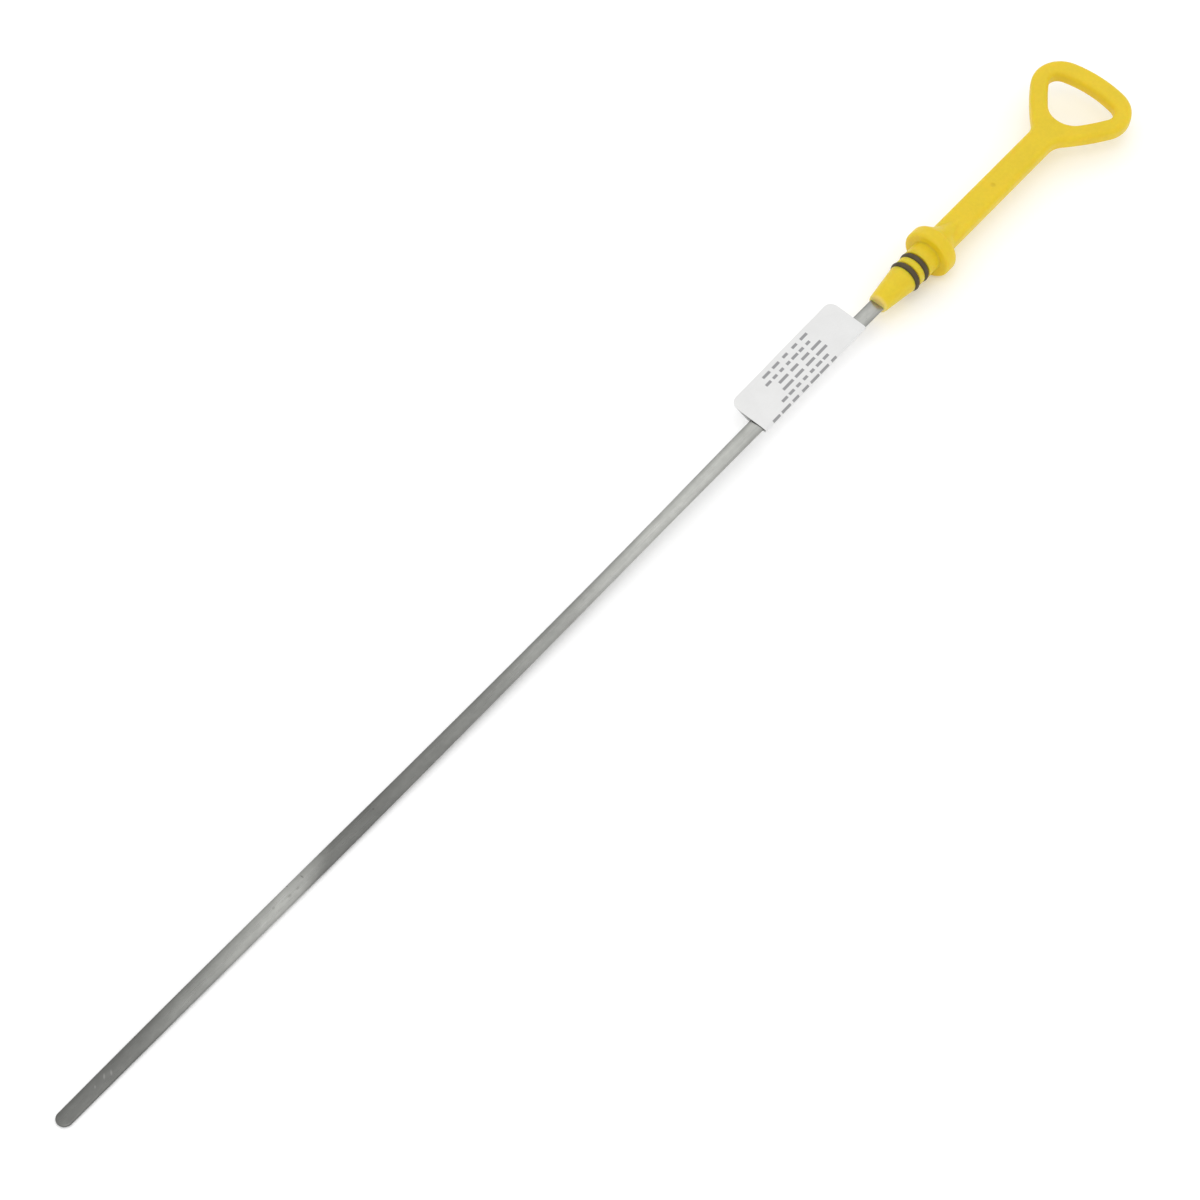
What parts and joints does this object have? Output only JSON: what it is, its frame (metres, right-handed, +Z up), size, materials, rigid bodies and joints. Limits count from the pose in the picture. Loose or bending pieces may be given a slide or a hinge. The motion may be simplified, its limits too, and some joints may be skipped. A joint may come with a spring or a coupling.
{
  "type": "engine oil dipstick",
  "caption": "Engine oil dipstick: flat spring steel blade in a yellow moulded handle with a tapered plug, sealing rings, a collar and a finger loop; a paper tag is folded round the blade.",
  "frame": {"origin": "centre of the bounding box's base, on the surface the stick lies on", "axes": "+X along the stick from its tip to the finger loop, +Y to the side of the tag's free edge, +Z up"},
  "size_m": [0.4782, 0.0348, 0.0166],
  "materials": {
    "handle_plastic": "satin",
    "blade_steel": "satin",
    "ring_rubber": "matte",
    "tag_paper": "matte"
  },
  "bodies": {
    "root": {"handle": "handle_plastic", "blade": "blade_steel", "upper_o_ring": "ring_rubber", "lower_o_ring": "ring_rubber", "paper_tag": "tag_paper"}
  },
  "joints": []
}
